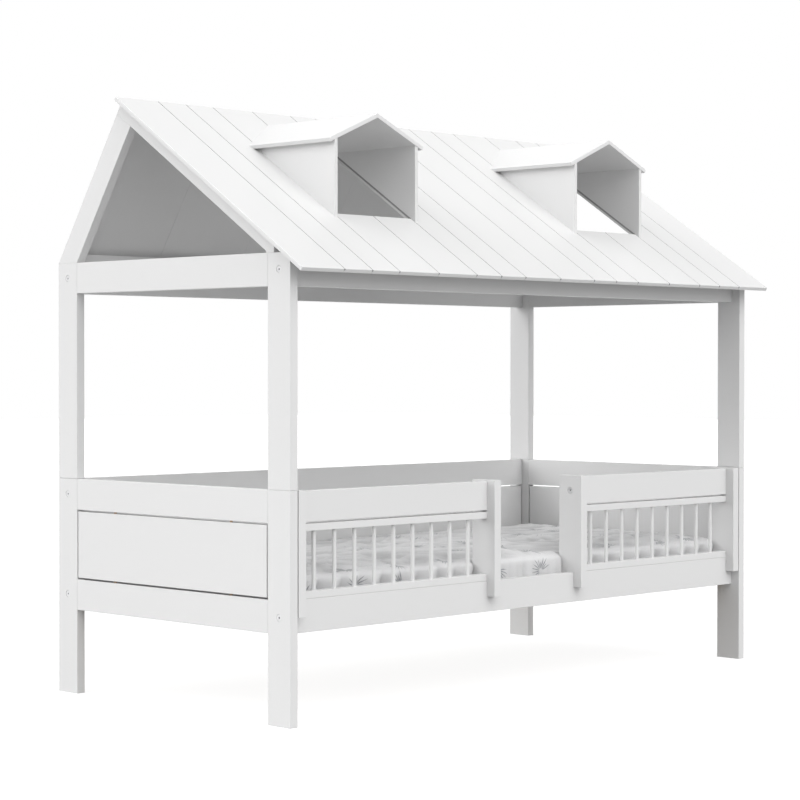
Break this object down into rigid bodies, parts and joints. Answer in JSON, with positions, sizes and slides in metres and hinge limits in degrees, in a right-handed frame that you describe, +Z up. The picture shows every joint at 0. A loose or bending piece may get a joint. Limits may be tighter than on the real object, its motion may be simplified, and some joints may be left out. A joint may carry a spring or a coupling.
{
  "type": "house frame bed",
  "caption": "Single bed with a house-shaped canopy: panelled ends and back, lift-off spindle guards, slatted base with mattress, boarded gable roof with dormer windows.",
  "frame": {"origin": "on the floor under the middle of the bed's overall length and depth", "axes": "+X along the bed, +Y from the entry side to the closed back, +Z up"},
  "size_m": [2.12, 1.094, 1.7554],
  "materials": {
    "white_lacquer": "satin white lacquer on smooth timber",
    "natural_pine": "planed pine, untreated",
    "beech": "turned beech, fluted dowels",
    "zinc_plated_steel": "zinc plated",
    "mattress_cover": "woven cotton cover with a pale line print"
  },
  "bodies": {
    "frame": {"back_eave_rail": "white_lacquer", "back_panel": "white_lacquer", "back_side_rail": "white_lacquer", "back_top_rail": "white_lacquer", "barrel_nuts": "zinc_plated_steel", "dormer_left_cheeks": "white_lacquer", "dormer_left_roof": "white_lacquer", "dormer_right_cheeks": "white_lacquer", "dormer_right_roof": "white_lacquer", "eave_bearer_back": "white_lacquer", "eave_bearer_front": "white_lacquer", "frame_bolts": "zinc_plated_steel", "frame_dowels": "beech", "front_eave_rail": "white_lacquer", "front_side_rail": "white_lacquer", "left_cross_rail": "white_lacquer", "left_end_bottom_rail": "white_lacquer", "left_end_panel": "white_lacquer", "left_end_top_rail": "white_lacquer", "panel_dowels": "beech", "post_lower_back_left": "white_lacquer", "post_lower_back_right": "white_lacquer", "post_lower_front_left": "white_lacquer", "post_lower_front_right": "white_lacquer", "post_pins": "beech", "post_upper_back_left": "white_lacquer", "post_upper_back_right": "white_lacquer", "post_upper_front_left": "white_lacquer", "post_upper_front_right": "white_lacquer", "rafter_back_left": "white_lacquer", "rafter_back_right": "white_lacquer", "rafter_front_left": "white_lacquer", "rafter_front_right": "white_lacquer", "ridge_batten": "white_lacquer", "right_cross_rail": "white_lacquer", "right_end_bottom_rail": "white_lacquer", "right_end_panel": "white_lacquer", "right_end_top_rail": "white_lacquer", "roof_panel_front_1": "white_lacquer", "roof_panel_front_2": "white_lacquer", "roof_panel_front_3": "white_lacquer", "roof_panel_front_4": "white_lacquer", "roof_panels_back": "white_lacquer", "roof_screws": "zinc_plated_steel", "slat_ledgers": "natural_pine", "slat_screws": "zinc_plated_steel", "slats": "natural_pine"},
    "mattress": {"mattress": "mattress_cover"},
    "guard_left": {"guard_left_inner_board": "white_lacquer", "guard_left_laths": "white_lacquer", "guard_left_outer_board": "white_lacquer", "guard_left_screws": "zinc_plated_steel", "guard_left_spindles": "white_lacquer", "guard_left_top_board": "white_lacquer"},
    "guard_right": {"guard_right_inner_board": "white_lacquer", "guard_right_laths": "white_lacquer", "guard_right_outer_board": "white_lacquer", "guard_right_screws": "zinc_plated_steel", "guard_right_spindles": "white_lacquer", "guard_right_top_board": "white_lacquer"}
  },
  "joints": [
    {"name": "mattress_lift", "type": "slide", "parent": "frame", "child": "mattress", "axis": [0, 0, 1], "range_m": [0, 0.4]},
    {"name": "guard_left_lift", "type": "slide", "parent": "frame", "child": "guard_left", "axis": [0, 0, 1], "range_m": [0, 0.1]},
    {"name": "guard_right_lift", "type": "slide", "parent": "frame", "child": "guard_right", "axis": [0, 0, 1], "range_m": [0, 0.1]}
  ]
}
